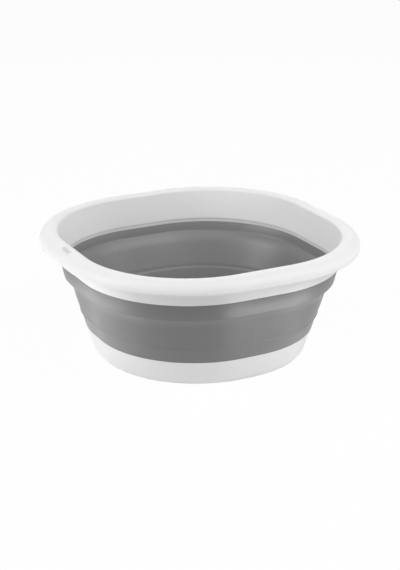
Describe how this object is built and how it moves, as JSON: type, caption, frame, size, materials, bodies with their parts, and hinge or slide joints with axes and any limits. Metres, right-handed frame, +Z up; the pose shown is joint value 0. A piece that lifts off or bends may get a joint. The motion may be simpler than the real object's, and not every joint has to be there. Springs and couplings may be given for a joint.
{
  "type": "washing up bowl",
  "caption": "Square fold-flat washing up bowl with rounded corners: stiff flanged rim with a hanging slot, soft banded wall that folds in on itself, and a stiff base.",
  "frame": {"origin": "middle of the underside, on the surface that the bowl stands on", "axes": "+Z up through the mouth, X and Y square to the four sides, hanging slot on the -X side of the rim"},
  "size_m": [0.37, 0.37, 0.15],
  "materials": {
    "rim_plastic": "satin moulded white polypropylene",
    "soft_wall": "matt grey thermoplastic rubber",
    "base_plastic": "satin moulded white polypropylene"
  },
  "bodies": {
    "base_body": {"base": "base_plastic", "lower_band": "soft_wall", "folding_band": "soft_wall"},
    "rim_body": {"rim": "rim_plastic", "upper_band": "soft_wall"}
  },
  "joints": [
    {"name": "wall_fold", "type": "slide", "parent": "base_body", "child": "rim_body", "axis": [0, 0, 1], "range_m": [-0.085, 0], "deforming": ["folding_band"]}
  ]
}
